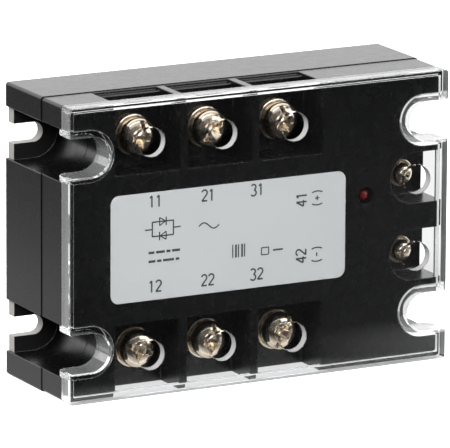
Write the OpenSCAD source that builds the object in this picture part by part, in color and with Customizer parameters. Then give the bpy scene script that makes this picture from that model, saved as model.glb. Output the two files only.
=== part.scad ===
// Three-phase solid state relay for panel or heat-sink mounting.
// X runs along the long side, Z is up and the terminals face -Y. The origin is the centre of the
// base plate's back face. A depth is measured backwards from the front face of the clear cover.

/* [Overall] */
// Width of the housing
body_w = 105; // [104:0.5:106]
// Height of the housing
body_h = 74; // [73:0.5:75]
// Depth from the clear cover's face to the mounting face
body_d = 35.5; // [35:0.5:37]

/* [Mounting] */
// Distance between the slot centres along the width
slot_pitch_x = 92.6; // [92:0.2:93]
// Distance between the slot centres along the height
slot_pitch_z = 48.8; // [48:0.2:49]
// Width of the slots in the base plate
slot_w = 4.9; // [4.5:0.1:5.3]
// Thickness of the base plate
plate_t = 3; // [2.5:0.1:3]
// Radius of the housing's notches around the slots
notch_r = 6.5; // [6.4:0.05:6.6]

/* [Clear cover] */
// Thickness of the cover's front plate
cover_t = 2.3; // [2:0.1:2.3]
// Thickness of the cover's outer skirt
skirt_t = 1.5; // [1.2:0.1:1.5]
// Depth of the cover's outer skirt
skirt_d = 5; // [4.5:0.1:5]
// Depth of the cover's U-shaped walls in the notches
u_wall_d = 8.2; // [7:0.1:9]
// Thickness of the U-shaped walls
u_wall_t = 1.4; // [1.2:0.1:1.4]
// Diameter of the load terminals' access holes
load_hole = 7.3; // [7:0.1:7.6]
// Diameter of the control terminals' access holes
control_hole = 7.3; // [7:0.1:7.6]

/* [Terminals] */
// Distance between neighbouring load terminals
load_pitch = 19.75; // [19.6:0.05:19.9]
// Height of the load terminals above and below the middle
load_z = 26.6; // [26.4:0.1:26.8]
// Width of a load terminal's pocket
load_pocket_w = 17.6; // [17:0.1:17.7]
// Position of the control terminals along the width
control_x = 43.8; // [43.5:0.1:44]
// Height of the control terminals above and below the middle
control_z = 9.8; // [9.7:0.1:9.9]
// Radius of a control terminal's pocket
control_pocket_r = 6.45; // [6:0.05:6.45]
// Depth of the pockets' floors
pocket_floor_d = 13; // [13:0.1:13.2]

/* [Label] */
// Width of the label
label_w = 65; // [60:1:66]
// Height of the label
label_h = 27; // [24:1:30]

/* [Hidden] */
$fn = 64;
fit = 0.05;

// Housing depths and walls
deck_d = 3;
deck_t = 2.2;
shoulder_d = skirt_d + 0.1;
seam_front_d = 15.7;
seam_rear_d = 15.88;
tongue_back_d = 18.5;
tongue_t = 1;
seam_groove = 0.8;
step_gap = 0.02;
rear_wall = 2.2;
front_wall = 1.9;
rib_wall = 1.6;
front_step = 0.2;
corner_r = 0.8;
floor_back_d = 16;
seal_t = 0.2;
plate_front_d = body_d - plate_t;
plate_inset = 0.75;
lip_t = 0.7;

// Mounting slots
slot_x = slot_pitch_x / 2;
slot_z = slot_pitch_z / 2;
notch_wall_r = notch_r + rib_wall;
beyond = 20;

// Clear cover
cover_w = body_w - 0.2;
cover_h = body_h - 0.2;
u_outer_r = notch_r - 0.1;
u_end_r = 3;
deck_w = cover_w - 2 * (skirt_t + 0.15);
deck_h = cover_h - 2 * (skirt_t + 0.15);

// Label and status light
label_x = -8;
label_z = 0.2;
label_r = 2.2;
label_t = 0.15;
led_x = 30.4;
led_z = 6.65;
led_tip_d = 3.5;
led_back_d = 9;
led_r = 1.5;
led_flange_r = 1.9;
led_hole_r = 2.2;
led_lead_x = 1.27;

// Load terminals: three along the top row, then three along the bottom row
load_x = [for (i = [0:2]) -30.3 + i * load_pitch];
load_at = [for (side = [1, -1], i = [0:2]) [load_x[i], side * load_z]];
load_inner_z = 18.65;
window_recess_d = 15;
window_recess = 0.75;
control_at = [[control_x, control_z], [control_x, -control_z]];

// Load screw, M5: head, lock washer, flat washer and threaded post
load_head_d = 5.6;
load_head_t = 3.6;
load_head_r = 4.7;
load_shank_r = 2.5;
load_shank_l = 8;
load_lock_d = 9.25;
load_lock_t = 1.1;
load_lock_r = 4.3;
load_washer_d = 10.4;
load_washer_t = 1;
load_washer_r = 5.2;
load_flange_d = 11.45;
load_flange_r = 4.9;
load_post_r = 3.6;

// Control screw, M3, on the same plan
control_head_d = 6.5;
control_head_t = 2.4;
control_head_r = 2.8;
control_shank_r = 1.5;
control_shank_l = 6;
control_lock_d = 8.95;
control_lock_t = 0.7;
control_lock_r = 2.75;
control_washer_d = 9.7;
control_washer_t = 0.5;
control_washer_r = 3.5;
control_flange_d = 10.25;
control_flange_r = 3.2;
control_post_r = 2.4;

// Inside
board_d = 20;
board_t = 1.6;
board_w = 97;
board_h = 31;
board_pin_r = 1;
pillars = [[-45, 11], [-45, -11], [23, 12], [23, -12]];
potting_front_d = 22.8;
potting_back_d = 28.6;
busbar_w = 8;
busbar_tab_d = 19;
busbar_t = 1;
busbar_leg_z = 19.5;
pad_d = plate_front_d - 0.9;
die_d = pad_d - 0.4;
die_z = 7;
gate_x = 2.5;
gate_z = 8;
gate_r = 0.4;
strap_x = 3;

// Components on the front of the board
optocoupler_z = 4;
optocoupler_size = [6.4, 8.8];
optocoupler_pin_x = 3.6;
pin_pitch = 2.54;
capacitor_z = -12;
capacitor_size = [13, 5, 10];
snubber_resistor_z = -6;
snubber_resistor_r = 1.75;
snubber_resistor_l = 9;
gate_resistor_at = [5, 13];
chip_size = [3.2, 1.6, 0.6];
transistor_at = [36, -8];
transistor_size = [4.6, 3.6, 3.6];
diode_at = [36, 0];
diode_r = 1.35;
diode_l = 5;
input_resistor_at = [30, -13];

// The Y coordinate of a depth behind the cover's face
function deep(d) = d - body_d;

// Extrudes a shape drawn in X and Z between two depths
module slab(d0, d1) {
    translate([0, deep(d1), 0]) rotate([90, 0, 0]) linear_extrude(d1 - d0) children();
}

// A round bar along Y between two depths
module rod(r, d0, d1) {
    translate([0, deep(d1), 0]) rotate([90, 0, 0]) cylinder(r = r, h = d1 - d0);
}

// A block centred on X and Z between two depths
module block(w, h, d0, d1) {
    translate([-w / 2, deep(d0), -h / 2]) cube([w, d1 - d0, h]);
}

// Puts a thing on a point of the front
module at(p) {
    translate([p[0], 0, p[1]]) children();
}

module outline(w, h, r) {
    square([w - 2 * r, h], center = true);
    square([w, h - 2 * r], center = true);
    for (sx = [-1, 1], sz = [-1, 1]) translate([sx * (w / 2 - r), sz * (h / 2 - r)]) circle(r);
}

// The four U shapes that open towards the sides, around the slot centres
module notches(r) {
    for (sx = [-1, 1], sz = [-1, 1]) translate([sx * slot_x, sz * slot_z]) {
        circle(r);
        translate([sx > 0 ? 0 : -beyond, -r]) square([beyond, 2 * r]);
    }
}

// The control pockets, open towards the right side
module control_pockets(r) {
    for (p = control_at) translate(p) {
        circle(r);
        translate([0, -r]) square([beyond, 2 * r]);
    }
}

// The load pockets, open towards the top and the bottom
module load_pockets() {
    for (x = load_x, side = [0, 1]) mirror([0, side])
        translate([x - load_pocket_w / 2, load_inner_z]) square([load_pocket_w, beyond]);
}

module load_pocket_blocks() {
    w = 2 * load_pitch + load_pocket_w + 2 * rib_wall;
    for (side = [0, 1]) mirror([0, side])
        translate([load_x[1] - w / 2, load_inner_z - rib_wall]) square([w, beyond]);
}

module control_pocket_block() {
    r = control_pocket_r + rib_wall;
    translate([control_x - r, -control_z - r]) square([beyond, 2 * (control_z + r)]);
}

module tongue_ring(clearance) {
    w = body_w - 2 * (rear_wall - tongue_t) + 2 * clearance;
    h = body_h - 2 * (rear_wall - tongue_t) + 2 * clearance;
    difference() {
        square([w, h], center = true);
        square([body_w - 2 * rear_wall - 0.01, body_h - 2 * rear_wall - 0.01], center = true);
        notches(notch_wall_r + tongue_t - clearance);
    }
}

module base_plate() color("silver") difference() {
    slab(plate_front_d, body_d)
        outline(body_w - 2 * plate_inset, body_h - 2 * plate_inset, corner_r);
    slab(plate_front_d - 1, body_d + 1) notches(slot_w / 2);
}

module base_seal() color("dimgray") slab(plate_front_d - seal_t, plate_front_d) difference() {
    square([body_w - 2 * plate_inset - 0.4, body_h - 2 * plate_inset - 0.4], center = true);
    difference() {
        square([body_w - 2 * rear_wall, body_h - 2 * rear_wall], center = true);
        notches(notch_wall_r);
    }
    notches(notch_r);
}

module rear_housing() color([0.09, 0.09, 0.1]) difference() {
    slab(seam_rear_d, body_d) outline(body_w, body_h, corner_r);
    slab(seam_rear_d - 1, plate_front_d) difference() {
        square([body_w - 2 * rear_wall, body_h - 2 * rear_wall], center = true);
        notches(notch_wall_r);
    }
    slab(plate_front_d - seal_t, body_d + 1)
        square([body_w - 2 * lip_t, body_h - 2 * lip_t], center = true);
    slab(seam_rear_d - 1, tongue_back_d + 0.1) tongue_ring(fit);
    slab(seam_rear_d - 1, body_d + 1) notches(notch_r);
}

// Steps on the front housing that close the seam behind the notches' edges
module notch_steps() slab(seam_front_d - 0.5, seam_rear_d - step_gap) intersection() {
    square([body_w - 2 * front_step - 2 * seam_groove,
            body_h - 2 * front_step - 2 * seam_groove], center = true);
    difference() {
        notches(notch_wall_r + tongue_t);
        notches(notch_r + seam_groove);
    }
}

module front_housing() color([0.07, 0.07, 0.08]) {
    difference() {
        union() {
            slab(deck_d, shoulder_d + 1) outline(deck_w, deck_h, corner_r);
            slab(shoulder_d, seam_front_d)
                outline(body_w - 2 * front_step, body_h - 2 * front_step, corner_r);
            slab(seam_front_d - 1, tongue_back_d) tongue_ring(0);
        }
        difference() {
            slab(deck_d + deck_t, seam_front_d + 1)
                square([body_w - 2 * front_wall - 2 * front_step,
                        body_h - 2 * front_wall - 2 * front_step], center = true);
            slab(deck_d, floor_back_d) load_pocket_blocks();
            slab(deck_d, floor_back_d) control_pocket_block();
            slab(deck_d, seam_front_d) notches(notch_wall_r);
            slab(seam_front_d - 1, tongue_back_d) tongue_ring(0);
        }
        slab(deck_d - 1, tongue_back_d + 1) notches(notch_r);
        slab(deck_d - 1, pocket_floor_d) load_pockets();
        slab(deck_d - 1, pocket_floor_d) control_pockets(control_pocket_r);
        for (x = load_x) translate([x, 0, body_h / 2 - front_step - window_recess + 1])
            block(load_pocket_w, 2, pocket_floor_d - 1, window_recess_d);
        for (p = load_at) at(p) rod(load_post_r + fit, pocket_floor_d - 1, floor_back_d + 1);
        for (p = control_at) at(p) rod(control_post_r + fit, pocket_floor_d - 1, floor_back_d + 1);
        at([led_x, led_z]) rod(led_hole_r, deck_d - 1, deck_d + deck_t + 1);
    }
    notch_steps();
    for (p = pillars) at(p) {
        rod(2, deck_d + 1, board_d);
        rod(board_pin_r, board_d - 1, board_d + board_t + 0.4);
    }
}

// The clear cover's depth seen from above: the U-shaped walls end in round corners at the sides
module cover_profile() {
    w = cover_w - 2 * u_end_r;
    translate([-cover_w / 2, deep(0)]) square([cover_w, u_wall_d - u_end_r]);
    translate([-w / 2, deep(0)]) square([w, u_wall_d]);
    for (sx = [-1, 1]) translate([sx * w / 2, deep(u_wall_d - u_end_r)]) circle(u_end_r);
}

module clear_cover() color([0.85, 0.9, 0.92, 0.35]) difference() {
    union() {
        slab(0, skirt_d) outline(cover_w, cover_h, corner_r);
        intersection() {
            slab(0, u_wall_d) notches(u_outer_r);
            translate([0, 0, -cover_h / 2]) linear_extrude(cover_h) cover_profile();
        }
    }
    slab(cover_t, skirt_d + 1) difference() {
        square([cover_w - 2 * skirt_t, cover_h - 2 * skirt_t], center = true);
        notches(u_outer_r);
    }
    slab(-1, u_wall_d + 1) notches(u_outer_r - u_wall_t);
    for (p = load_at) at(p) rod(load_hole / 2, -1, cover_t + 1);
    for (p = control_at) at(p) rod(control_hole / 2, -1, cover_t + 1);
}

module label() color([0.78, 0.79, 0.8])
    slab(deck_d - label_t, deck_d) translate([label_x, label_z]) outline(label_w, label_h, label_r);

module indicator_led() color([0.6, 0.03, 0.03]) at([led_x, led_z]) {
    rod(led_r, led_tip_d + led_r, led_back_d);
    translate([0, deep(led_tip_d + led_r), 0]) sphere(led_r);
    rod(led_flange_r, led_back_d - 1, led_back_d);
}

module led_leads() color("silver") for (sx = [-1, 1]) at([led_x + sx * led_lead_x, led_z])
    rod(0.25, led_back_d, board_d + board_t + 0.4);

module circuit_board() color([0.1, 0.35, 0.15]) difference() {
    block(board_w, board_h, board_d, board_d + board_t);
    for (p = pillars) at(p) rod(board_pin_r + fit, board_d - 1, board_d + board_t + 1);
    for (p = control_at) at(p) rod(1.2 + fit, board_d - 1, board_d + board_t + 1);
    for (sx = [-1, 1]) at([led_x + sx * led_lead_x, led_z])
        rod(0.35, board_d - 1, board_d + board_t + 1);
    for (x = load_x, s = [-1, 1]) at([x + s * gate_x, s * gate_z])
        rod(gate_r + fit, board_d - 1, board_d + board_t + 1);
}

module potting_compound() color([0.2, 0.2, 0.22]) difference() {
    slab(potting_front_d, potting_back_d) difference() {
        square([body_w - 2 * rear_wall - 0.2, body_h - 2 * rear_wall - 0.2], center = true);
        notches(notch_wall_r + 0.1);
    }
    for (x = load_x, s = [-1, 1]) {
        at([x, s * (busbar_leg_z + busbar_t / 2)])
            block(busbar_w + 0.2, busbar_t + 0.2, potting_front_d - 1, potting_back_d + 1);
        at([x + s * gate_x, s * gate_z])
            rod(gate_r + fit, potting_front_d - 1, potting_back_d + 1);
    }
}

module substrate(i) color([0.93, 0.92, 0.88]) at([load_x[i], 0]) {
    block(17.5, 35, pad_d + 0.3, plate_front_d);
    for (s = [-1, 1]) at([0, s * 8.75]) block(15.5, 15.5, pad_d, pad_d + 0.3);
}

module thyristor_dies() color([0.35, 0.36, 0.4])
    for (x = load_x, s = [-1, 1]) at([x, s * die_z]) block(8.5, 8.5, die_d, pad_d);

// An arched copper strap from each die to the other pad of its substrate
module die_straps() color([0.8, 0.5, 0.3]) for (x = load_x, s = [0, 1])
    translate([x, 0, 0]) mirror([s, 0, 0]) mirror([0, 0, s])
        translate([-strap_x - 1.25, 0, 0]) rotate([90, 0, 90]) linear_extrude(2.5) polygon([
            [deep(die_d), 8], [deep(die_d), 5], [deep(die_d - 0.9), 4], [deep(die_d - 0.9), 0],
            [deep(pad_d), -1.2], [deep(pad_d), -2.5], [deep(pad_d - 0.5), -2.5],
            [deep(pad_d - 0.5), -1.6], [deep(die_d - 1.4), -0.4], [deep(die_d - 1.4), 4.4],
            [deep(die_d - 0.5), 5.2], [deep(die_d - 0.5), 8]
        ]);

module gate_leads() color("silver") for (x = load_x, s = [-1, 1])
    at([x + s * gate_x, s * gate_z]) rod(gate_r, board_d + 0.3, die_d);

// A Z-shaped strip from the post down to the substrate
module load_busbar(p) color([0.75, 0.5, 0.35]) difference() {
    translate([p[0] - busbar_w / 2, 0, 0]) mirror([0, 0, p[1] > 0 ? 0 : 1])
        rotate([90, 0, 90]) linear_extrude(busbar_w) polygon([
            [deep(busbar_tab_d), load_z + 3.5],
            [deep(busbar_tab_d), busbar_leg_z],
            [deep(pad_d - busbar_t), busbar_leg_z],
            [deep(pad_d - busbar_t), 14],
            [deep(pad_d), 14],
            [deep(pad_d), busbar_leg_z + busbar_t],
            [deep(busbar_tab_d + busbar_t), busbar_leg_z + busbar_t],
            [deep(busbar_tab_d + busbar_t), load_z + 3.5]
        ]);
    at(p) rod(2.6 + fit, busbar_tab_d - 1, busbar_tab_d + busbar_t + 1);
}

module load_post(p) color([0.8, 0.78, 0.7]) at(p) difference() {
    union() {
        rod(load_flange_r, load_flange_d, pocket_floor_d);
        rod(load_post_r, pocket_floor_d - 0.5, busbar_tab_d);
        rod(2.6, busbar_tab_d - 0.5, busbar_tab_d + busbar_t);
    }
    rod(load_shank_r + fit, load_flange_d - 1, busbar_tab_d - 0.5);
}

module control_post(p) color([0.8, 0.78, 0.7]) at(p) difference() {
    union() {
        rod(control_flange_r, control_flange_d, pocket_floor_d);
        rod(control_post_r, pocket_floor_d - 0.5, board_d);
        rod(1.2, board_d - 0.5, board_d + board_t + 0.4);
    }
    rod(control_shank_r + fit, control_flange_d - 1, board_d - 1.5);
}

// A pan head with a slot and a cross, on a plain shank in place of the thread
module pan_screw(head_d, head_t, head_r, shank_r, shank_l, slot_t) {
    seat_d = head_d + head_t;
    difference() {
        union() {
            rod(head_r, head_d + 0.35 * head_t, seat_d);
            translate([0, deep(head_d + 0.35 * head_t), 0]) rotate([90, 0, 0])
                cylinder(r1 = head_r, r2 = 0.78 * head_r, h = 0.35 * head_t);
        }
        for (turn = [0, 90]) rotate([0, turn, 0])
            block(slot_t, turn == 0 ? 3 * head_r : 1.2 * head_r, head_d - 1, head_d + 0.5 * head_t);
    }
    rod(shank_r, seat_d, seat_d + shank_l);
}

module load_screw(p) color([0.85, 0.78, 0.66]) at(p)
    pan_screw(load_head_d, load_head_t, load_head_r, load_shank_r, load_shank_l, 1);

module control_screw(p) color([0.85, 0.78, 0.66]) at(p)
    pan_screw(control_head_d, control_head_t, control_head_r, control_shank_r, control_shank_l, 0.8);

// A spring washer with one split
module lock_washer(outer, inner, d0, t) difference() {
    rod(outer, d0, d0 + t);
    rod(inner, d0 - 1, d0 + t + 1);
    at([(outer + inner) / 2, 0]) block(outer, 0.5, d0 - 1, d0 + t + 1);
}

module flat_washer(outer, inner, d0, t) difference() {
    rod(outer, d0, d0 + t);
    rod(inner, d0 - 1, d0 + t + 1);
}

module load_lock_washer(p) color([0.82, 0.78, 0.7]) at(p)
    lock_washer(load_lock_r, load_shank_r + 0.15, load_lock_d, load_lock_t);

module load_washer(p) color([0.85, 0.8, 0.7]) at(p)
    flat_washer(load_washer_r, load_shank_r + 0.15, load_washer_d, load_washer_t);

module control_lock_washer(p) color([0.82, 0.78, 0.7]) at(p)
    lock_washer(control_lock_r, control_shank_r + 0.12, control_lock_d, control_lock_t);

module control_washer(p) color([0.85, 0.8, 0.7]) at(p)
    flat_washer(control_washer_r, control_shank_r + 0.12, control_washer_d, control_washer_t);

// A block on the front of the board: width, height and thickness
module board_chip(size) {
    block(size[0], size[1], board_d - size[2], board_d);
}

// A round part lying along X on the front of the board
module lying_rod(r, length) {
    translate([-length / 2, deep(board_d - r - 0.15), 0]) rotate([0, 90, 0])
        cylinder(r = r, h = length);
}

// Six-pin drivers that fire the thyristors at zero crossing
module optocouplers() color([0.92, 0.92, 0.9]) for (x = load_x) at([x, optocoupler_z]) {
    block(optocoupler_size[0], optocoupler_size[1], board_d - 4, board_d - 0.5);
    for (sx = [-1, 1], k = [-1, 0, 1]) at([sx * optocoupler_pin_x, k * pin_pitch])
        block(0.8, 0.6, board_d - 2.4, board_d);
}

module snubber_capacitors() color([0.2, 0.35, 0.6]) for (x = load_x)
    at([x, capacitor_z])
        block(capacitor_size[0], capacitor_size[1], board_d - capacitor_size[2], board_d);

module snubber_resistors() color([0.6, 0.7, 0.75]) for (x = load_x)
    at([x, snubber_resistor_z]) lying_rod(snubber_resistor_r, snubber_resistor_l);

module gate_resistors() color([0.12, 0.12, 0.13]) for (x = load_x, sx = [-1, 1])
    at([x + sx * gate_resistor_at[0], gate_resistor_at[1]]) board_chip(chip_size);

// The constant-current transistor, its diode and its resistor, for the control input
module input_driver() color([0.13, 0.13, 0.14]) {
    at(transistor_at) board_chip(transistor_size);
    at(diode_at) lying_rod(diode_r, diode_l);
    at(input_resistor_at) board_chip(chip_size);
}

base_plate();
base_seal();
rear_housing();
front_housing();
clear_cover();
label();
indicator_led();
led_leads();
circuit_board();
potting_compound();
thyristor_dies();
die_straps();
gate_leads();
optocouplers();
snubber_capacitors();
snubber_resistors();
gate_resistors();
input_driver();
for (i = [0:2]) substrate(i);
for (i = [0:5]) {
    load_busbar(load_at[i]);
    load_post(load_at[i]);
    load_screw(load_at[i]);
    load_lock_washer(load_at[i]);
    load_washer(load_at[i]);
}
for (i = [0:1]) {
    control_post(control_at[i]);
    control_screw(control_at[i]);
    control_lock_washer(control_at[i]);
    control_washer(control_at[i]);
}
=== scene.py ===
"""Three-phase solid state relay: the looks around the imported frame. Metres, front towards -Y."""
import math

import bmesh
import bpy
from mathutils import Matrix, Vector


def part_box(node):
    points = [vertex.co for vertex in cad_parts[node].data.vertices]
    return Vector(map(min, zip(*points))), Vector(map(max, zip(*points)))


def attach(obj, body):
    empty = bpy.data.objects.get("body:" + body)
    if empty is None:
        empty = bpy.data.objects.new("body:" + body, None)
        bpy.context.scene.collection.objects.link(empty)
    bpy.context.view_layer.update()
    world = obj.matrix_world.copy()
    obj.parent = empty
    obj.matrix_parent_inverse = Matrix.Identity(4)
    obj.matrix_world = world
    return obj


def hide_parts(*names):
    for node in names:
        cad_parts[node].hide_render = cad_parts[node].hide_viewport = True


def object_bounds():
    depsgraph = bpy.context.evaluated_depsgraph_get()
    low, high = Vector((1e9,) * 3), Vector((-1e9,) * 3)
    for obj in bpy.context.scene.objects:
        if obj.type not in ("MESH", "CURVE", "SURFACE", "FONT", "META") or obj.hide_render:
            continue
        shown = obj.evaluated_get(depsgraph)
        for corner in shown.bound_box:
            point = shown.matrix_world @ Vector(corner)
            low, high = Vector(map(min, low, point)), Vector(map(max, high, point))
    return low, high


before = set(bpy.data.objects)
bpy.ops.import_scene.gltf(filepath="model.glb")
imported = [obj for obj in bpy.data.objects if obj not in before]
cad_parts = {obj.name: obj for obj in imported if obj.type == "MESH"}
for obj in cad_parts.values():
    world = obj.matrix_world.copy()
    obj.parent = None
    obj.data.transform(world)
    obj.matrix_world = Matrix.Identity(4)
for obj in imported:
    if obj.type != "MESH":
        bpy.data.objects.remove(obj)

CAD_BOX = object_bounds()
MM = 0.001
HALF_W, HALF_H = CAD_BOX[1].x / MM, CAD_BOX[1].z / MM
BODY_D = (CAD_BOX[1].y - CAD_BOX[0].y) / MM


# ---------------------------------------------------------------- materials

class Shader:
    """A material with a Principled shader, and short calls for the nodes used here."""

    def __init__(self, name, **settings):
        self.mat = bpy.data.materials.new(name)
        self.mat.use_nodes = True
        self.tree = self.mat.node_tree
        self.bsdf = self.tree.nodes["Principled BSDF"]
        self.out = self.tree.nodes["Material Output"]
        self.coords = self.node("ShaderNodeTexCoord").outputs["Object"]
        for key, value in settings.items():
            self.bsdf.inputs[key.replace("_", " ")].default_value = value

    def node(self, kind, inputs=(), **settings):
        made = self.tree.nodes.new(kind)
        for key, value in settings.items():
            setattr(made, key, value)
        for key, value in dict(inputs).items():
            if isinstance(value, bpy.types.NodeSocket):
                self.tree.links.new(value, made.inputs[key])
            else:
                made.inputs[key].default_value = value
        return made

    def noise(self, scale, detail=2.0, stretch=(1, 1, 1)):
        where = self.node("ShaderNodeMapping", {"Vector": self.coords, "Scale": stretch})
        made = self.node("ShaderNodeTexNoise", {
            "Vector": where.outputs["Vector"], "Scale": scale, "Detail": detail})
        return made.outputs["Fac"]

    def remap(self, value, low, high, to_low=0.0, to_high=1.0, soft=False):
        made = self.node("ShaderNodeMapRange", {
            "Value": value, "From Min": low, "From Max": high, "To Min": to_low, "To Max": to_high},
            interpolation_type="SMOOTHSTEP" if soft else "LINEAR")
        return made.outputs["Result"]

    def math(self, operation, a, b):
        return self.node("ShaderNodeMath", {0: a, 1: b}, operation=operation).outputs["Value"]

    def blend(self, factor, a, b):
        made = self.node("ShaderNodeMix", {0: factor, 6: (*a, 1), 7: (*b, 1)}, data_type="RGBA")
        return made.outputs[2]

    def set(self, key, value):
        self.tree.links.new(value, self.bsdf.inputs[key])

    def bump(self, height, distance, strength=1.0):
        made = self.node("ShaderNodeBump", {
            "Height": height, "Distance": distance, "Strength": strength})
        before = self.bsdf.inputs["Normal"]
        if before.is_linked:
            self.tree.links.new(before.links[0].from_socket, made.inputs["Normal"])
        self.tree.links.new(made.outputs["Normal"], before)


def plastic(name, dark, light, rough, grain=2600, grain_depth=0.000005):
    """A moulded plastic: blotches of colour, uneven gloss and a fine spark-eroded grain."""
    s = Shader(name, Specular_IOR_Level=0.5)
    blotches = s.noise(70, 3)
    s.set("Base Color", s.blend(s.remap(blotches, 0.35, 0.65, 0, 1), dark, light))
    s.set("Roughness", s.remap(s.noise(420, 3), 0.3, 0.7, rough - 0.02, rough + 0.02))
    s.bump(s.noise(grain, 2), grain_depth, 0.3)
    s.bump(s.noise(30, 1), 0.00003, 0.15)
    return s.mat


def metal(name, dark, light, rough, stretch=(1, 1, 1), scale=900, depth=0.000008):
    """A plated metal: patches of tint, uneven gloss and fine marks that may run one way."""
    s = Shader(name, Metallic=1.0)
    marks = s.noise(scale, 4, stretch)
    tint = s.noise(220, 3) if stretch == (1, 1, 1) else marks
    s.set("Base Color", s.blend(s.remap(tint, 0.35, 0.65, 0, 1), dark, light))
    s.set("Roughness", s.remap(marks, 0.3, 0.7, rough - 0.06, rough + 0.08))
    s.bump(marks, depth, 0.6)
    return s.mat


def lets_lamps_through(s):
    """Makes the surface pass shadow rays, so that it casts hardly any shadow."""
    seen = s.node("ShaderNodeBsdfTransparent", {"Color": (0.93, 0.94, 0.945, 1)})
    path = s.node("ShaderNodeLightPath")
    mix = s.node("ShaderNodeMixShader", {0: path.outputs["Is Shadow Ray"]})
    s.tree.links.new(s.bsdf.outputs["BSDF"], mix.inputs[1])
    s.tree.links.new(seen.outputs["BSDF"], mix.inputs[2])
    s.tree.links.new(mix.outputs["Shader"], s.out.inputs["Surface"])


def clear_plastic(name, clearness, rough, ior=1.585):
    """Polycarbonate, from clear at a clearness of 1 to milky. It casts hardly any shadow."""
    s = Shader(name, Transmission_Weight=clearness, IOR=ior, Roughness=rough)
    s.bsdf.inputs["Base Color"].default_value = (0.95, 0.955, 0.957, 1)
    s.bump(s.noise(40, 1), 0.00004, 0.12)
    lets_lamps_through(s)
    return s.mat


def painted_highlight_wall():
    """Painted highlight on the walls of the cover's access holes: an opaque pale grey skin that stands for
    the light the clear plate carries to that side of each hole.
    """
    s = Shader("painted_highlight_hole_wall", Specular_IOR_Level=0.5)
    s.set("Base Color", s.blend(s.noise(300, 3), (0.30, 0.303, 0.306), (0.36, 0.363, 0.366)))
    s.set("Roughness", s.remap(s.noise(900, 2), 0.3, 0.7, 0.35, 0.5))
    lets_lamps_through(s)
    return s.mat


def shaded_edge():
    """The side of the painted highlight skin that faces into the moulding, painted dark as shade."""
    s = Shader("shaded_hole_wall", Specular_IOR_Level=0.2)
    s.set("Base Color", s.blend(s.noise(300, 3), (0.006, 0.006, 0.007), (0.012, 0.012, 0.013)))
    s.set("Roughness", s.remap(s.noise(900, 2), 0.3, 0.7, 0.45, 0.6))
    lets_lamps_through(s)
    return s.mat


def plate_front_black():
    """The base plate's front face, made near black."""
    s = Shader("near_black_plate_front", Specular_IOR_Level=0.3)
    s.set("Base Color", s.blend(s.noise(160, 3), (0.004, 0.0035, 0.0035), (0.008, 0.0072, 0.0072)))
    s.set("Roughness", s.remap(s.noise(700, 2), 0.3, 0.7, 0.5, 0.6))
    s.bump(s.noise(1800, 2), 0.000006, 0.5)
    return s.mat


def cut_edge():
    """The sheared edges of the base plate, duller than its faces."""
    s = Shader("sheared_aluminium", Metallic=0.2)
    s.set("Base Color", s.blend(s.noise(260, 3), (0.265, 0.257, 0.243), (0.33, 0.32, 0.303)))
    tears = s.noise(500, 3, (1, 0.15, 1))
    s.set("Roughness", s.remap(tears, 0.3, 0.7, 0.5, 0.65))
    s.bump(tears, 0.00002, 0.4)
    return s.mat


def label_film():
    s = Shader("printed_film", Specular_IOR_Level=0.4)
    s.set("Base Color", s.blend(s.noise(90, 3), (0.54, 0.55, 0.553), (0.58, 0.59, 0.593)))
    s.set("Roughness", s.remap(s.noise(800, 2), 0.3, 0.7, 0.42, 0.52))
    s.bump(s.noise(1500, 2), 0.000006, 0.5)
    return s.mat


def ink():
    s = Shader("label_ink")
    s.set("Base Color", s.blend(s.noise(2500, 2), (0.025, 0.026, 0.03), (0.06, 0.062, 0.068)))
    s.set("Roughness", s.remap(s.noise(900, 2), 0.3, 0.7, 0.45, 0.6))
    return s.mat


def red_lens():
    s = Shader("red_lens", Coat_Weight=0.4, Coat_Roughness=0.08)
    s.set("Base Color", s.blend(s.noise(900, 2), (0.085, 0.0015, 0.0012), (0.14, 0.0026, 0.002)))
    s.set("Roughness", s.remap(s.noise(1200, 2), 0.3, 0.7, 0.16, 0.24))
    return s.mat


def board_laminate():
    s = Shader("glass_epoxy_board")
    weave = s.noise(700, 2, (1, 1, 0.1))
    s.set("Base Color", s.blend(weave, (0.006, 0.06, 0.02), (0.012, 0.10, 0.035)))
    s.set("Roughness", s.remap(weave, 0.3, 0.7, 0.3, 0.4))
    s.bump(weave, 0.00002, 0.5)
    return s.mat


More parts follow.
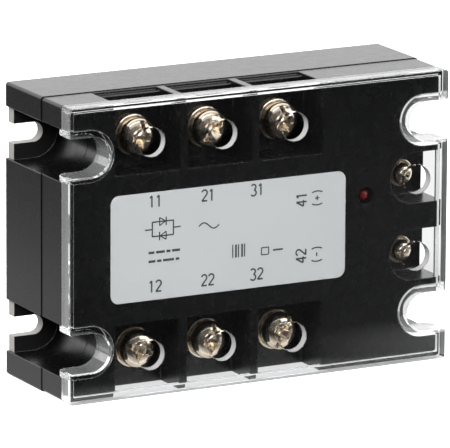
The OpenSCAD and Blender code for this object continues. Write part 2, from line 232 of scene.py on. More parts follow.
FINISH = {
    "black_plastic": plastic("black_moulded", (0.0025, 0.0025, 0.0027), (0.0029, 0.0029, 0.0032), 0.27),
    "clear_plastic": clear_plastic("clear_polycarbonate", 1.0, 0.0),
    "label_film": label_film(),
    "red_lens": red_lens(),
    "plate_aluminium": metal("rolled_aluminium", (0.64, 0.63, 0.60), (0.76, 0.75, 0.72), 0.36,
                             stretch=(1, 1, 70), scale=22, depth=0.000005),
    "nickel_steel": metal("champagne_nickel", (0.79, 0.67, 0.53), (0.93, 0.83, 0.70), 0.15),
    "plated_brass": metal("plated_brass", (0.66, 0.55, 0.36), (0.78, 0.69, 0.50), 0.26),
    "copper": metal("bare_copper", (0.72, 0.36, 0.22), (0.86, 0.48, 0.32), 0.3),
    "silicone": plastic("silicone_seal", (0.10, 0.10, 0.10), (0.14, 0.14, 0.14), 0.55),
    "board_laminate": board_laminate(),
    "epoxy": plastic("potting_epoxy", (0.015, 0.016, 0.018), (0.03, 0.031, 0.034), 0.3, 300),
    "ceramic": plastic("alumina_ceramic", (0.72, 0.70, 0.65), (0.80, 0.79, 0.74), 0.5, 1800),
    "silicon": metal("silicon_die", (0.16, 0.17, 0.20), (0.26, 0.27, 0.31), 0.18),
    "tinned_wire": metal("tinned_wire", (0.62, 0.62, 0.63), (0.75, 0.75, 0.76), 0.3),
    "component_white": plastic("white_package", (0.66, 0.66, 0.63), (0.74, 0.74, 0.71), 0.45),
    "component_blue": plastic("blue_capacitor", (0.02, 0.07, 0.24), (0.03, 0.10, 0.32), 0.35, 900),
    "component_black": plastic("black_package", (0.012, 0.012, 0.013), (0.022, 0.022, 0.024), 0.5),
    "component_grey": plastic("grey_resistor", (0.22, 0.27, 0.30), (0.30, 0.36, 0.39), 0.5),
}
INK = ink()
NEAR_BLACK_FRONT = plate_front_black()
CUT_EDGE = cut_edge()
SHADED_EDGE = shaded_edge()
HAZY = clear_plastic("hazy_polycarbonate", 0.86, 0.02)
SCUFFED = clear_plastic("scuffed_polycarbonate", 0.44, 0.12)
UNSEEN_WALL = clear_plastic("unseen_hole_wall_polycarbonate", 1.0, 0.0, ior=1.0)
FAINT_HAZE = clear_plastic("faintly_hazy_polycarbonate", 0.9, 0.03)
for node_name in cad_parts:
    for place in bpy.data.objects[node_name].material_slots:
        place.material = FINISH[place.material.name.split(".")[0]]


# ---------------------------------------------------------------- pieces

def add_piece(name, mesh, body, slot, nodes=(), material=None):
    piece = bpy.data.objects.new(name, mesh)
    bpy.context.scene.collection.objects.link(piece)
    if not mesh.materials:
        mesh.materials.append(material or FINISH[slot])
    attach(piece, body)
    if nodes:
        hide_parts(*nodes)
    return piece


def mesh_from(bm, name, smooth_angle=30):
    mesh = bpy.data.meshes.new(name)
    bmesh.ops.recalc_face_normals(bm, faces=bm.faces)
    bm.to_mesh(mesh)
    bm.free()
    mesh.shade_smooth()
    mesh.set_sharp_from_angle(angle=math.radians(smooth_angle))
    return mesh


def applied(piece):
    """Bakes a piece's modifiers into its mesh."""
    graph = bpy.context.evaluated_depsgraph_get()
    mesh = bpy.data.meshes.new_from_object(piece.evaluated_get(graph), depsgraph=graph)
    piece.modifiers.clear()
    old, piece.data = piece.data, mesh
    mesh.name = old.name
    bpy.data.meshes.remove(old)


def lathe(bm, profile, turns=64):
    """Turns (radius, height) points about -Y. A closed profile makes a ring, an open one a solid."""
    rings = []
    for r, h in profile:
        if r < 1e-9:
            rings.append([bm.verts.new((0, -h, 0))])
        else:
            rings.append([bm.verts.new((r * math.cos(a), -h, r * math.sin(a)))
                          for a in (math.tau * k / turns for k in range(turns))])
    return rings


def join_rings(bm, rings, closed):
    pairs = list(zip(rings, rings[1:] + rings[:1])) if closed else list(zip(rings, rings[1:]))
    for a, b in pairs:
        n = max(len(a), len(b))
        for k in range(n):
            corners = [a[k % len(a)], a[(k + 1) % len(a)], b[(k + 1) % len(b)], b[k % len(b)]]
            unique = list(dict.fromkeys(corners))
            if len(unique) > 2:
                bm.faces.new(unique)


def depth_of(y):
    """Depth behind the cover's face, in mm."""
    return (y - CAD_BOX[0].y) / MM


def centre(node):
    low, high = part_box(node)
    return (low + high) / 2 / MM


def from_axis(co, at):
    """Distance of a point from a terminal's axis, in mm."""
    return math.hypot(co.x / MM - at.x, co.z / MM - at.z)


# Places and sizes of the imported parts, in mm
LOAD_AT = [centre(f"load_screw_{i}") for i in range(1, 7)]
CONTROL_AT = [centre(f"control_screw_{i}") for i in (1, 2)]
TERMINALS = [*LOAD_AT, *CONTROL_AT]
LED_AT = centre("indicator_led")
SLOT_X, SLOT_Z = 46.3, 24.4
NOTCH_R, U_WALL_R = 6.5, 5.0
LOAD_POCKET_HALF, LOAD_POCKET_INNER, LOAD_POCKET_D = 8.8, 18.65, 15.2
CONTROL_POCKET_R, CONTROL_POCKET_D, CONTROL_SIDE_X = 6.45, 13.1, 30
LED_HOLE_R, LED_HOLE_D = 2.2, 5.3
# The seam between the housings: the front one's rim, its middle and the rear one's rim
SEAM_FRONT_D, SEAM_D, SEAM_REAR_D = 15.7, 15.8, 15.88
# How far inside the box the side faces of the front and the rear housing lie, at most
FRONT_INSET, REAR_INSET = 1.9, 1.2
# Rounding of the cover's edges and its holes' rims, and a radius that takes in a hole's wall
COVER_ROUNDING, HOLE_ROUNDING, HOLE_ZONE_R = 0.4, 0.1, 4
# The side of a hole's wall that looks pale, where the painted highlight skin goes
HIGHLIGHT_SIDE = Vector((0.9, 0, -0.43))
NEAR = 0.1


def nearest_terminal(co):
    return min(TERMINALS, key=lambda at: from_axis(co, at))


def on_slot_outline(x, z, r, tol=0.12):
    """True if a point lies on a U outline around a mounting slot."""
    return on_u_shape(x, z, SLOT_X, SLOT_Z, r, tol)


def on_u_shape(x, z, cx, cz, r, tol=0.12):
    """True if a point lies on a U outline that opens towards the sides."""
    qx, qz = abs(x) - cx, abs(z) - cz
    return abs((math.hypot(qx, qz) if qx < 0 else abs(qz)) - r) < tol


def outer_side(x, z, n, inset):
    """True at a housing's outer side, top or bottom face."""
    return (abs(x) > HALF_W - inset and n.x * x > 0) or (abs(z) > HALF_H - inset and n.z * z > 0)


def front_skin(face):
    """True for a front housing's face that shows: not the inside of the cavity."""
    c, n = face.calc_center_median() / MM, face.normal
    x, z, d = c.x, c.z, depth_of(c.y * MM)
    if d > SEAM_FRONT_D + 0.05:
        return False
    if n.y < -0.9:
        return True
    if n.y > 0.9:
        return d > SEAM_FRONT_D - NEAR
    if outer_side(x, z, n, FRONT_INSET) or on_slot_outline(x, z, NOTCH_R):
        return True
    if d < LOAD_POCKET_D and abs(z) > LOAD_POCKET_INNER - NEAR:
        for p in LOAD_AT:
            if abs(abs(x - p.x) - LOAD_POCKET_HALF) < NEAR:
                return True
            if abs(x - p.x) < LOAD_POCKET_HALF and abs(abs(z) - LOAD_POCKET_INNER) < NEAR:
                return True
    if d < CONTROL_POCKET_D and x > CONTROL_SIDE_X:
        if on_u_shape(x, z, CONTROL_AT[0].x, CONTROL_AT[0].z, CONTROL_POCKET_R):
            return True
    return d < LED_HOLE_D and abs(math.hypot(x - LED_AT.x, z - LED_AT.z) - LED_HOLE_R) < NEAR


def rear_skin(face):
    """True for a rear housing's face that shows."""
    c, n = face.calc_center_median() / MM, face.normal
    x, z, d = c.x, c.z, depth_of(c.y * MM)
    if abs(n.y) > 0.9:
        return min(abs(d - SEAM_REAR_D), abs(d - BODY_D)) < 0.05
    return outer_side(x, z, n, REAR_INSET) or on_slot_outline(x, z, NOTCH_R)


def flat_normals(mesh):
    """Rounded edges blend into flat faces that stay flat: at each corner the largest smooth
    neighbour's normal wins, and the facets of a curved wall are averaged."""
    sharp = {e.key for e in mesh.edges if e.use_edge_sharp}
    by_edge = {}
    for face in mesh.polygons:
        for key in face.edge_keys:
            by_edge.setdefault(key, []).append(face.index)
    at_vertex = {}
    for face in mesh.polygons:
        for v in face.vertices:
            at_vertex.setdefault(v, []).append(face.index)
    normals = [None] * len(mesh.loops)
    for v, around in at_vertex.items():
        left = set(around)
        while left:
            fan, queue = set(), [left.pop()]
            while queue:
                f = queue.pop()
                fan.add(f)
                for key in mesh.polygons[f].edge_keys:
                    if v in key and key not in sharp:
                        for other in by_edge[key]:
                            if other in left:
                                left.discard(other)
                                queue.append(other)
            largest = max(mesh.polygons[f].area for f in fan)
            n = Vector()
            for f in fan:
                if mesh.polygons[f].area > 0.3 * largest:
                    n += mesh.polygons[f].normal * mesh.polygons[f].area
            n.normalize()
            for f in fan:
                face = mesh.polygons[f]
                leans = face.area > 0.5 * MM ** 2 and face.normal.dot(n) < 0.94
                for k in face.loop_indices:
                    if mesh.loops[k].vertex_index == v:
                        normals[k] = face.normal.copy() if leans else n
    mesh.normals_split_custom_set([tuple(n) for n in normals])


def shell(name, node, body, slot, width, skin=None, weight=None, holes=()):
    """A CAD node's shape with rounded moulded edges, in place of the node.
    Flat faces are cut through the holes' centres, so that each is a plain polygon."""
    bm = bmesh.new()
    bm.from_mesh(bpy.data.objects[node].data)
    bmesh.ops.remove_doubles(bm, verts=bm.verts, dist=2e-6)
    for x in sorted({round(p.x, 2) for p in holes}):
        cut = bmesh.ops.bisect_plane(bm, geom=[*bm.verts, *bm.edges, *bm.faces], dist=2e-5,
                                     plane_co=(x * MM, 0, 0), plane_no=(1, 0, 0))
        for part in cut["geom_cut"]:
            if isinstance(part, bmesh.types.BMEdge):
                part.seam = True
    bmesh.ops.dissolve_limit(bm, angle_limit=math.radians(0.5), verts=bm.verts, edges=bm.edges,
                             delimit={"SEAM"})
    bm.normal_update()
    rounding = bm.edges.layers.float.new("bevel_weight_edge")
    shown = {f.index: skin is None or skin(f) for f in bm.faces}
    for edge in bm.edges:
        faces = edge.link_faces
        if len(faces) == 2 and edge.calc_face_angle(0) > math.radians(28):
            if shown[faces[0].index] and shown[faces[1].index]:
                edge[rounding] = weight(edge) if weight else 1.0
    mesh = mesh_from(bm, name, 28)
    piece = add_piece(name, mesh, body, slot, [node])
    bevel = piece.modifiers.new("rounded edges", "BEVEL")
    bevel.limit_method = "WEIGHT"
    bevel.width = width * MM
    bevel.segments = 3
    bevel.use_clamp_overlap = False
    bevel.miter_outer = "MITER_ARC"
    applied(piece)
    piece.data.shade_smooth()
    piece.data.set_sharp_from_angle(angle=math.radians(42))
    flat_normals(piece.data)
    return piece


def cover_weight(edge):
    """The cover's outer front edge is rounder than its other edges, and its holes' rims are sharper."""
    mid = (edge.verts[0].co + edge.verts[1].co) / 2 / MM
    if any(from_axis(v.co, at) < HOLE_ZONE_R for at in TERMINALS for v in edge.verts):
        return HOLE_ROUNDING / COVER_ROUNDING
    if depth_of(mid.y * MM) < NEAR:
        for n in (f.normal for f in edge.link_faces):
            if (abs(mid.x) > HALF_W - 1 and abs(n.x) > 0.3) or (abs(mid.z) > HALF_H - 1 and abs(n.z) > 0.3):
                return 0.7
    return 0.45


def seam_weight(edge):
    """The housings' edges at the seam are sharper than their other edges."""
    mid_y = (edge.verts[0].co.y + edge.verts[1].co.y) / 2
    return 0.3 if abs(depth_of(mid_y) - SEAM_D) < 0.3 else 1.0


def plate_finish(face):
    """The black front and the sheared edges of the base plate."""
    if face.normal.y < -0.9:
        return NEAR_BLACK_FRONT
    return CUT_EDGE if face.normal.y < 0.9 else None


def cover_finish(face):
    """The faces of the cover that aren't quite clear, and the hole walls that don't show at all."""
    c, n = face.center / MM, face.normal
    at = nearest_terminal(face.center)
    if abs(n.x) > 0.97 and abs(c.x) > HALF_W - 0.2:
        return HAZY
    if on_slot_outline(c.x, c.z, U_WALL_R, 0.2):
        return FAINT_HAZE
    if n.z < -0.6 and c.z < -(HALF_H - 0.5):
        return SCUFFED
    if from_axis(face.center, at) < HOLE_ZONE_R and abs(n.y) < 0.95 and HIGHLIGHT_SIDE.dot(c - at) < 0:
        return UNSEEN_WALL
    return None


def finish_faces(piece, pick):
    """Gives each face the finish that pick names for it, where it names one."""
    found = [pick(face) for face in piece.data.polygons]
    extra = [finish for finish in dict.fromkeys(found) if finish]
    for finish in extra:
        piece.data.materials.append(finish)
    for face, finish in zip(piece.data.polygons, found):
        if finish:
            face.material_index = 1 + extra.index(finish)


def hole_walls():
    """A thin skin of painted highlight on the pale side of each access hole, just clear of the moulding."""
    cover_points = [v.co for v in bpy.data.objects["clear_cover"].data.vertices]
    every = bmesh.new()
    for at in TERMINALS:
        r = min(from_axis(co, at) for co in cover_points)
        back = max(depth_of(co.y) for co in cover_points if from_axis(co, at) < r + 0.05)
        profile = wall_side(r, back, 0.015) + wall_side(r, back, 0.055)[::-1]
        bm = bmesh.new()
        rings = lathe(bm, [(p[0] * MM, -p[1] * MM) for p in profile], 96)
        for ring in rings:
            for v in ring:
                v.co += Vector((at.x * MM, CAD_BOX[0].y, at.z * MM))
        join_rings(bm, rings, True)
        cut = bmesh.ops.bisect_plane(bm, geom=[*bm.verts, *bm.edges, *bm.faces], clear_inner=True,
                                     plane_co=(at.x * MM, 0, at.z * MM), plane_no=HIGHLIGHT_SIDE)
        bmesh.ops.holes_fill(bm, edges=[e for e in cut["geom_cut"] if isinstance(e, bmesh.types.BMEdge)])
        half = bpy.data.meshes.new("half")
        bm.to_mesh(half)
        bm.free()
        every.from_mesh(half)
        bpy.data.meshes.remove(half)
    walls = add_piece("clear_cover_hole_walls", mesh_from(every, "clear_cover_hole_walls"), "cover",
                      "clear_plastic", material=painted_highlight_wall())
    finish_faces(walls, wall_finish)


def wall_side(r, back, gap):
    """One side of the skin as (radius, depth) points: the rim's rounding, then straight back."""
    turn = HOLE_ROUNDING + gap
    points = []
    for k in range(6):
        a = math.radians(68 + (90 - 68) * k / 5)
        points.append((r + HOLE_ROUNDING - turn * math.sin(a), HOLE_ROUNDING - turn * math.cos(a)))
    return points + [(r - gap, back - HOLE_ROUNDING)]


def wall_finish(face):
    """The skin is painted dark, as shade, where it faces into the moulding or forwards."""
    outwards = face.center / MM - nearest_terminal(face.center)
    outwards.y = 0
    return SHADED_EDGE if face.normal.dot(outwards) > 0 or face.normal.y < -0.2 else None


shell("front_housing_shell", "front_housing", "housing_body", "black_plastic", 0.22, skin=front_skin,
      weight=seam_weight, holes=[LED_AT])
shell("rear_housing_shell", "rear_housing", "housing_body", "black_plastic", 0.25, skin=rear_skin,
      weight=seam_weight)
finish_faces(shell("base_plate_stamping", "base_plate", "housing_body", "plate_aluminium", 0.18),
             plate_finish)
finish_faces(shell("clear_cover_moulding", "clear_cover", "cover", "clear_plastic", COVER_ROUNDING,
                   weight=cover_weight, holes=TERMINALS), cover_finish)
hole_walls()


# ---------------------------------------------------------------- screws and washers

def box_cutter(bm, front, back, top, bottom):
    """A tapered block: half sizes (x, z) at its front height and at its back height."""
    rings = []
    for (hx, hz), h in ((top, front), (bottom, back)):
        rings.append([bm.verts.new((sx * hx, -h, sz * hz))
                      for sx, sz in ((-1, -1), (1, -1), (1, 1), (-1, 1))])
    for k in range(4):
        bm.faces.new([rings[0][k], rings[0][(k + 1) % 4], rings[1][(k + 1) % 4], rings[1][k]])
    bm.faces.new(rings[0])
    bm.faces.new(rings[1])


def screw_mesh(name, r, t, shank_r, shank_l, pitch, slot_half, cross_half, cross_reach):
    """A pan head with a combined slot and cross recess on a real thread. Origin at the seat.
    The dome is an ellipse's quarter that the two powers make fuller. Sizes are in mm."""
    side, slot_depth, cross_depth = 0.22 * t, 0.38 * t, 0.68 * t
    bm = bmesh.new()
    profile = [(0, 0), (r - 0.12, 0), (r - 0.03, 0.04), (r, 0.12), (r, side)]
    for k in range(1, 21):
        a = math.pi / 2 * k / 20
        out = math.cos(a) ** 0.68 if k < 20 else 0
        profile.append((r * out, side + (t - side) * math.sin(a) ** 0.9))
    join_rings(bm, lathe(bm, [(p[0] * MM, p[1] * MM) for p in profile], 80), False)
    head = bpy.data.objects.new(name + "_head", mesh_from(bm, name + "_head"))
    bpy.context.scene.collection.objects.link(head)
    cutters = []
    top = (t + 0.6) * MM
    slot = (slot_half * MM, 2 * r * MM), (slot_half * 0.92 * MM, 2 * r * MM)
    cuts = [(top, (t - slot_depth) * MM, *slot)]
    for long_x in (False, True):
        a = (cross_half * 1.15 * MM, cross_reach * 1.15 * MM)
        b = (cross_half * 0.6 * MM, cross_reach * 0.35 * MM)
        if long_x:
            a, b = a[::-1], b[::-1]
        cuts.append((top, (t - cross_depth) * MM, a, b))
    for front, back, a, b in cuts:
        bm = bmesh.new()
        box_cutter(bm, front, back, a, b)
        cutter = bpy.data.objects.new("cutter", mesh_from(bm, "cutter"))
        bpy.context.scene.collection.objects.link(cutter)
        cut = head.modifiers.new("recess", "BOOLEAN")
        cut.operation, cut.solver, cut.object = "DIFFERENCE", "EXACT", cutter
        cutters.append(cutter)
    bevel = head.modifiers.new("edges", "BEVEL")
    bevel.limit_method, bevel.angle_limit = "ANGLE", math.radians(38)
    bevel.width, bevel.segments, bevel.use_clamp_overlap = 0.13 * MM, 2, True
    applied(head)
    for cutter in cutters:
        bpy.data.objects.remove(cutter)
    bm = bmesh.new()
    bm.from_mesh(head.data)
    bmesh.ops.triangulate(bm, faces=[f for f in bm.faces if len(f.verts) > 4], ngon_method="EAR_CLIP")
    bpy.data.objects.remove(head)
    thread(bm, shank_r, shank_l, pitch)
    return mesh_from(bm, name, 35)


def thread(bm, r, length, pitch, turns=36, per_pitch=8):
    """A right-handed thread down from the seat, with a chamfered tip."""
    root = r - 0.54 * pitch
    rings = []
    steps = int(length / pitch * per_pitch)
    for k in range(steps + 1):
        h = -length * k / steps
        ring = []
        for j in range(turns):
            phase = (h / pitch - j / turns) % 1.0
            peak = 1 - abs(2 * phase - 1)
            radius = root + (r - root) * min(1.0, max(0.0, 1.25 * peak - 0.1))
            radius = min(radius, r - max(0.0, 0.8 - (length + h)) * 0.7)
            a = math.tau * j / turns
            ring.append(bm.verts.new((radius * math.cos(a) * MM, -h * MM, radius * math.sin(a) * MM)))
        rings.append(ring)
    join_rings(bm, rings, False)
    bm.faces.new(rings[-1])
    bm.faces.new(rings[0])


def washer_mesh(name, outer, inner, t, edge):
    """A stamped washer: a rolled front edge, a sharp back edge. Origin at its back face."""
    profile = [(inner, 0), (outer - 0.05, 0), (outer, 0.05)]
    for k in range(7):
        a = math.pi / 2 * k / 6
        profile.append((outer - edge + edge * math.cos(a), t - edge + edge * math.sin(a)))
    profile += [(inner + 0.12, t), (inner, t - 0.12)]
    bm = bmesh.new()
    join_rings(bm, lathe(bm, [(p[0] * MM, p[1] * MM) for p in profile], 72), True)
    return mesh_from(bm, name)


def lock_washer_mesh(name, outer, inner, t):
    """A split spring ring whose ends stand slightly apart. Origin at its back face."""
    bm = bmesh.new()
    section = [(inner, 0.08), (inner + 0.08, 0), (outer - 0.12, 0), (outer, 0.12),
               (outer, t - 0.2), (outer - 0.12, t - 0.08), (inner + 0.08, t - 0.08), (inner, t - 0.16)]
    rings = []
    gap = 0.22 / outer
    count = 60
    for k in range(count + 1):
        a = gap + (math.tau - 2 * gap) * k / count
        lift = 0.08 * (k / count)
        rings.append([bm.verts.new((r * math.cos(a) * MM, -(h + lift) * MM, r * math.sin(a) * MM))
                      for r, h in section])
    join_rings(bm, rings, False)
    bm.faces.new(rings[0])
    bm.faces.new(rings[-1])
    return mesh_from(bm, name)


def place_on(name, mesh, node, body, slot, turn=0.0, front=False, offset=0.0):
    """Puts a turned part on its node's axis, from the node's back or front face."""
    low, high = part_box(node)
    piece = add_piece(name, mesh, body, slot, [node])
    y = (low.y if front else high.y) + offset * MM
    piece.matrix_world = (Matrix.Translation(((low.x + high.x) / 2, y, (low.z + high.z) / 2))
                          @ Matrix.Rotation(math.radians(turn), 4, "Y"))
    return piece


# Each terminal size's screw and washers, its head's height and how far each screw is turned
KINDS = {
    "load": {
        "screw": screw_mesh("load_screw", r=4.7, t=3.6, shank_r=2.5, shank_l=8.0, pitch=0.8,
                            slot_half=0.65, cross_half=0.95, cross_reach=2.9),
        "washer": washer_mesh("load_washer", 5.2, 2.65, 1.0, 0.45),
        "lock": lock_washer_mesh("load_lock_washer", 4.3, 2.65, 1.1),
        "head_t": 3.6, "turns": [4, 48, -12, -66, 6, 28],
    },
    "control": {
        "screw": screw_mesh("control_screw", r=2.8, t=2.4, shank_r=1.5, shank_l=6.0, pitch=0.5,
                            slot_half=0.42, cross_half=0.5, cross_reach=1.7),
        "washer": washer_mesh("control_washer", 3.5, 1.62, 0.5, 0.2),
        "lock": lock_washer_mesh("control_lock_washer", 2.75, 1.62, 0.7),
        "head_t": 2.4, "turns": [35, 80],
    },
}
for kind, made in KINDS.items():
    for i, turn in enumerate(made["turns"], 1):
        screw = place_on(f"{kind}_screw_piece_{i}", made["screw"], f"{kind}_screw_{i}",
                         f"{kind}_screw_{i}", "nickel_steel", turn, front=True, offset=made["head_t"])
        place_on(f"{kind}_washer_piece_{i}", made["washer"], f"{kind}_washer_{i}",
                 f"{kind}_clamp_{i}", "nickel_steel", turn * 1.7)
        place_on(f"{kind}_lock_washer_piece_{i}", made["lock"], f"{kind}_lock_washer_{i}",
                 f"{kind}_clamp_{i}", "nickel_steel", -turn * 2.3)


# ---------------------------------------------------------------- status light

def led_mesh():
    """A round lens with a flange at its back and a domed tip. Origin at its back face."""
    low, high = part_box("indicator_led")
    length = (high.y - low.y) / MM
    r, flange = 1.5, 1.9
    profile = [(0, 0), (flange - 0.05, 0), (flange, 0.05), (flange, 0.95), (flange - 0.05, 1.0),
               (r + 0.05, 1.0), (r, 1.05)]
    for k in range(13):
        a = math.pi / 2 * k / 12
        profile.append((r * math.cos(a) if k < 12 else 0, length - r + r * math.sin(a)))
    bm = bmesh.new()
    join_rings(bm, lathe(bm, [(p[0] * MM, p[1] * MM) for p in profile], 48), False)
    return mesh_from(bm, "indicator_led_lens")


place_on("indicator_led_lens", led_mesh(), "indicator_led", "housing_body", "red_lens")


# ---------------------------------------------------------------- label

def rounded_outline(w, h, r, steps=8):
    points = []
    for sx, sz, start in ((1, 1, 0), (-1, 1, 90), (-1, -1, 180), (1, -1, 270)):
        for k in range(steps + 1):
            a = math.radians(start + 90 * k / steps)
            points.append((sx * (w / 2 - r) + r * math.cos(a), sz * (h / 2 - r) + r * math.sin(a)))
    return points


def prism(bm, outline, y_front, y_back):
    """A flat plate between two Y values, from an outline in X and Z."""
    front = [bm.verts.new((x * MM, y_front, z * MM)) for x, z in outline]
    back = [bm.verts.new((x * MM, y_back, z * MM)) for x, z in outline]
    bm.faces.new(front)
    bm.faces.new(back)
    n = len(outline)
    for k in range(n):
        bm.faces.new([front[k], front[(k + 1) % n], back[(k + 1) % n], back[k]])


def stroke(bm, points, width, y_front, y_back):
    """A line of even width through the points, with square ends. It is split at its corners."""
    for k in range(1, len(points) - 1):
        into = Vector(points[k]) - Vector(points[k - 1])
        out_of = Vector(points[k + 1]) - Vector(points[k])
        if into.angle(out_of) > math.radians(40):
            stroke(bm, points[:k + 1], width, y_front, y_back)
            stroke(bm, points[k:], width, y_front - 0.4e-6, y_back)
            return
    left, right = [], []
    for k, (x, z) in enumerate(points):
        a = points[max(k - 1, 0)]
        b = points[min(k + 1, len(points) - 1)]
        d = Vector((b[0] - a[0], b[1] - a[1])).normalized()
        left.append((x - d.y * width / 2, z + d.x * width / 2))
        right.append((x + d.y * width / 2, z - d.x * width / 2))
    prism(bm, left + right[::-1], y_front, y_back)


def arc(cx, cz, rx, rz, start, end, steps=14):
    return [(cx + rx * math.cos(math.radians(start + (end - start) * k / steps)),
             cz + rz * math.sin(math.radians(start + (end - start) * k / steps)))
            for k in range(steps + 1)]


# Strokes of each mark in a cell 1.5 wide and 2.9 high, from its lower left corner
GLYPHS = {
    "1": [[(0.25, 2.35), (0.8, 2.9), (0.8, 0)]],
    "2": [arc(0.75, 2.15, 0.72, 0.72, 165, -35) + [(0.05, 0.14)], [(0, 0.14), (1.5, 0.14)]],
    "3": [arc(0.7, 2.2, 0.66, 0.66, 150, -75), arc(0.7, 0.75, 0.75, 0.75, 80, -150)],
    "4": [[(1.15, 0), (1.15, 2.9), (0.02, 0.9), (1.6, 0.9)]],
    "(": [arc(1.35, 1.45, 1.0, 1.9, 130, 230)],
    ")": [arc(0.15, 1.45, 1.0, 1.9, 50, -50)],
    "+": [[(0.15, 1.45), (1.35, 1.45)], [(0.75, 0.85), (0.75, 2.05)]],
    "-": [[(0.25, 1.45), (1.25, 1.45)]],
}


def build_label():
    """The film and its print. The print's places are in mm from the film's middle."""
    low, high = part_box("label")
    mid = (low + high) / 2 / MM
    w, h = (high.x - low.x) / MM, (high.z - low.z) / MM
    bm = bmesh.new()
    outline = [(mid.x + x, mid.z + z) for x, z in rounded_outline(w, h, 2.2)]
    prism(bm, outline, low.y, high.y)
    film = add_piece("label_film_sheet", mesh_from(bm, "label_film_sheet"),
                     "housing_body", "label_film", ["label"])
    bevel = film.modifiers.new("edge", "BEVEL")
    bevel.width, bevel.segments = 0.04 * MM, 2
    applied(film)

    bm = bmesh.new()
    y_front, y_back = low.y - 0.012 * MM, low.y + 0.02 * MM

    def line(points, width):
        stroke(bm, [(mid.x + x, mid.z + z) for x, z in points], width, y_front, y_back)

    def write(text, x, z, upright=True, advance=1.95, width=0.42):
        total = advance * (len(text) - 1) + 1.5
        for k, mark in enumerate(text):
            for path in GLYPHS[mark]:
                points = [(p[0] + advance * k - total / 2, p[1] - 1.45) for p in path]
                if not upright:
                    points = [(-p[1], p[0]) for p in points]
                line([(x + p[0], z + p[1]) for p in points], width)

    for k, x in enumerate((-20.4, -5.9, 7.7), 1):
        write(f"{k}1", x, 11.2)
        write(f"{k}2", x, -10.1)
    write("41", 20.1, 7.4, upright=False)
    write("42", 20.1, -6.9, upright=False)
    write("(+)", 24.5, 7.4, upright=False, advance=1.35, width=0.34)
    write("(-)", 24.5, -6.9, upright=False, advance=1.35, width=0.34)
    # two thyristors in inverse parallel, as a wiring symbol
    line([(-23.2, 4.2), (-21.2, 4.2)], 0.35)
    line([(-15.4, 4.2), (-13.4, 4.2)], 0.35)
    line([(-21.2, 6.1), (-21.2, 2.3)], 0.35)
    line([(-15.4, 6.1), (-15.4, 2.3)], 0.35)
    for z, way in ((6.0, 1), (2.4, -1)):
        line([(-21.2, z), (-15.4, z)], 0.35)
        line([(-18.3 + way * 0.9, z + 1.05), (-18.3 + way * 0.9, z - 1.05)], 0.35)
        line([(-18.3 - way * 0.9, z + 1.0), (-18.3 + way * 0.75, z),
              (-18.3 - way * 0.9, z - 1.0), (-18.3 - way * 0.9, z + 1.0)], 0.3)
    # an alternating-current sign
    line([(-8.4 + k * 0.35, 3.6 + 0.8 * math.sin(k / 16 * math.tau)) for k in range(17)], 0.35)
    # plain bars in place of small print
    for z, lengths in ((-1.6, (1.6, 2.4, 1.1, 2.2)), (-3.8, (1.9, 1.2, 3.0, 1.0))):
        x = -22.2
        for length in lengths:
            line([(x, z), (x + length, z)], 0.62)
            x += length + 0.45
    for k, x in enumerate((1.0, 1.9, 2.6, 3.6, 4.3)):
        line([(x, -5.3), (x, -2.0)], 0.5 if k % 2 else 0.32)
    line([(9.0, -3.6), (11.0, -3.6), (11.0, -5.4), (9.0, -5.4), (9.0, -3.6)], 0.3)
    line([(12.2, -4.5), (15.0, -4.5)], 0.45)
    add_piece("label_print", mesh_from(bm, "label_print"), "housing_body", "label_film", material=INK)


build_label()


# ---------------------------------------------------------------- camera, light and floor

AIM = Vector((-1.69, -19.5, -0.1)) * MM


def build_camera(azimuth, elevation, roll, distance, lens):
    """Looks at AIM with a long lens. Angles are in degrees and the lens is in mm."""
    azimuth, elevation, roll = (math.radians(v) for v in (azimuth, elevation, roll))
    back = Vector((math.sin(azimuth) * math.cos(elevation), -math.cos(azimuth) * math.cos(elevation),
                   math.sin(elevation)))
    right = (-back).cross(Vector((0, 0, 1))).normalized()
    up = right.cross(-back)
    tilted_right = right * math.cos(roll) + up * math.sin(roll)
    tilted_up = up * math.cos(roll) - right * math.sin(roll)
    camera = bpy.data.objects.new("camera", bpy.data.cameras.new("camera"))
    camera.data.sensor_width = 36
    camera.data.lens = lens
    camera.data.clip_start, camera.data.clip_end = 0.05, 60
    rotation = Matrix((tilted_right, tilted_up, back)).transposed().to_4x4()
    camera.matrix_world = Matrix.Translation(AIM + back * distance) @ rotation
    bpy.context.scene.collection.objects.link(camera)
    bpy.context.scene.camera = camera


build_camera(azimuth=-27.927, elevation=13.341, roll=0.335, distance=1.57735, lens=510.0776)
bpy.context.scene.view_settings.view_transform = "Standard"
for limit in ("max_bounces", "glossy_bounces", "transmission_bounces", "transparent_max_bounces"):
    setattr(bpy.context.scene.cycles, limit, 32)


def softbox(name, direction, distance, size, power, seen_in="diffuse"):
    """A flat lamp in a direction from AIM, seen in diffuse light, in gloss or through glass only."""
    data = bpy.data.lights.new(name, "AREA")
    data.shape, data.size, data.size_y = "RECTANGLE", *size
    data.energy = power
    lamp = bpy.data.objects.new(name, data)
    lamp.visible_glossy = seen_in == "gloss"
    lamp.visible_diffuse = seen_in == "diffuse"
    lamp.visible_transmission = seen_in == "glass"
    towards = Vector(direction).normalized()
    turn = towards.to_track_quat("Z", "Y").to_matrix().to_4x4()
    lamp.matrix_world = Matrix.Translation(AIM + towards * distance) @ turn
    bpy.context.scene.collection.objects.link(lamp)


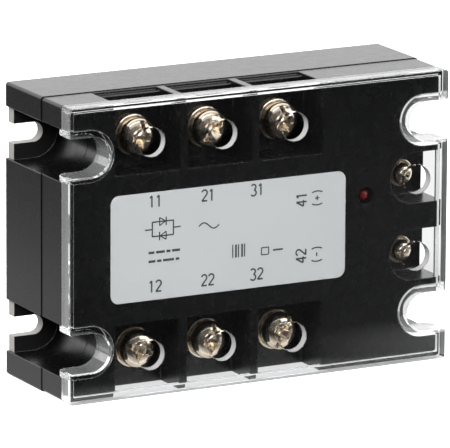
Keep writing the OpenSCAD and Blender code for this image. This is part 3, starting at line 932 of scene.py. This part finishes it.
softbox("key_right", (0.90, -0.33, 0.32), 0.85, (0.8, 0.6), 8)
softbox("fill_left", (-0.62, -0.46, 0.62), 0.95, (0.5, 0.45), 17)
softbox("card_right", (0.88, -0.44, 0.18), 0.85, (0.8, 0.9), 4.5, "gloss")
softbox("card_front", (-0.18, -0.93, 0.30), 0.85, (0.5, 0.4), 1.6, "gloss")
softbox("card_top", (-0.05, -0.42, 0.90), 0.85, (1.2, 0.6), 7, "gloss")
softbox("card_upper", (0.46, -0.71, 0.53), 0.85, (0.36, 0.34), 1.6, "gloss")
softbox("glow_right", (0.88, -0.44, 0.18), 0.87, (0.8, 0.9), 3.4, "glass")
softbox("glow_upper", (0.46, -0.71, 0.53), 0.87, (0.36, 0.34), 0.8, "glass")
softbox("glow_top", (-0.05, -0.42, 0.90), 0.87, (1.2, 0.6), 2.2, "glass")


def build_world():
    """A white studio to the camera. To other rays it is dim, and bright behind and to the right."""
    world = bpy.data.worlds.new("studio")
    bpy.context.scene.world = world
    world.use_nodes = True
    tree = world.node_tree
    where = tree.nodes.new("ShaderNodeTexCoord")
    split = tree.nodes.new("ShaderNodeSeparateXYZ")
    tree.links.new(where.outputs["Generated"], split.inputs[0])
    brighter = tree.nodes.new("ShaderNodeMath")
    brighter.operation = "MAXIMUM"
    for k, (axis, low, high, bright) in enumerate((("Y", -0.3, 0.6, 1.6), ("X", 0.6, 0.9, 0.9))):
        fade = tree.nodes.new("ShaderNodeMapRange")
        fade.interpolation_type = "SMOOTHSTEP"
        fade.inputs["From Min"].default_value, fade.inputs["From Max"].default_value = low, high
        fade.inputs["To Min"].default_value, fade.inputs["To Max"].default_value = 0.08, bright
        tree.links.new(split.outputs[axis], fade.inputs["Value"])
        tree.links.new(fade.outputs["Result"], brighter.inputs[k])
    path = tree.nodes.new("ShaderNodeLightPath")
    pick = tree.nodes.new("ShaderNodeMix")
    tree.links.new(path.outputs["Is Camera Ray"], pick.inputs[0])
    tree.links.new(brighter.outputs[0], pick.inputs[2])
    pick.inputs[3].default_value = 1.0
    sky = tree.nodes["Background"]
    tree.links.new(pick.outputs[0], sky.inputs["Strength"])
    sky.inputs["Color"].default_value = (1, 1, 1, 1)


def floor_glow(s):
    """How bright the floor is to rays that don't come from the camera: bright beside the relay and
    under it, and dim before it apart from a faint glint and a patch at the right."""
    split = s.node("ShaderNodeSeparateXYZ", {0: s.coords})
    x, y = split.outputs["X"], split.outputs["Y"]
    glint = s.math("MULTIPLY", s.remap(y, -0.35, -0.06, 0.0, 0.1), s.remap(x, -0.02, 0.14, 0.2, 1.0))
    patch = s.math("MULTIPLY", s.remap(y, -0.08, -0.05, 0.0, 0.8, soft=True), s.remap(x, 0.02, 0.07))
    near = s.remap(y, -0.053, -0.033, 0.004, 1.0, soft=True)
    near = s.math("MAXIMUM", s.math("MAXIMUM", near, glint), patch)
    side = s.remap(x, -0.17, -0.025, 0.15, 1.05, soft=True)
    scaled = s.node("ShaderNodeVectorMath", {0: s.coords, 1: (13, 20, 0)}, operation="MULTIPLY")
    spread = s.node("ShaderNodeVectorMath", {0: scaled.outputs["Vector"]}, operation="LENGTH")
    under = s.remap(spread.outputs["Value"], 1.0, 2.2, 0.76, 1.0, soft=True)
    return s.math("MULTIPLY", s.math("MULTIPLY", near, side), under)


def build_floor():
    """A pale floor under the relay, which doesn't show from below."""
    s = Shader("pale_floor", Roughness=0.8, Specular_IOR_Level=0.0)
    s.bsdf.inputs["Base Color"].default_value = (0.85, 0.85, 0.85, 1)
    s.set("Roughness", s.remap(s.noise(8, 2), 0.3, 0.7, 0.75, 0.85))
    path = s.node("ShaderNodeLightPath")
    glow = s.node("ShaderNodeEmission", {"Color": (1, 1, 1, 1), "Strength": 0.62})
    dim = s.node("ShaderNodeEmission", {"Color": (1, 1, 1, 1), "Strength": floor_glow(s)})
    lit = s.node("ShaderNodeAddShader", {0: s.bsdf.outputs["BSDF"], 1: glow.outputs["Emission"]})
    mix = s.node("ShaderNodeMixShader", {0: path.outputs["Is Camera Ray"], 1: dim.outputs["Emission"],
                                         2: lit.outputs["Shader"]})
    side_seen = s.node("ShaderNodeNewGeometry")
    see_through = s.node("ShaderNodeBsdfTransparent")
    one_sided = s.node("ShaderNodeMixShader", {0: side_seen.outputs["Backfacing"], 1: mix.outputs["Shader"],
                                               2: see_through.outputs["BSDF"]})
    s.tree.links.new(one_sided.outputs["Shader"], s.out.inputs["Surface"])
    reach = 8
    z = CAD_BOX[0].z - 0.05 * MM
    corners = [(-reach, -reach), (reach, -reach), (reach, reach), (-reach, reach)]
    mesh = bpy.data.meshes.new("floor")
    mesh.from_pydata([(x, y, z) for x, y in corners], [], [(0, 1, 2, 3)])
    mesh.materials.append(s.mat)
    floor = bpy.data.objects.new("floor", mesh)
    bpy.context.scene.collection.objects.link(floor)


build_world()
build_floor()
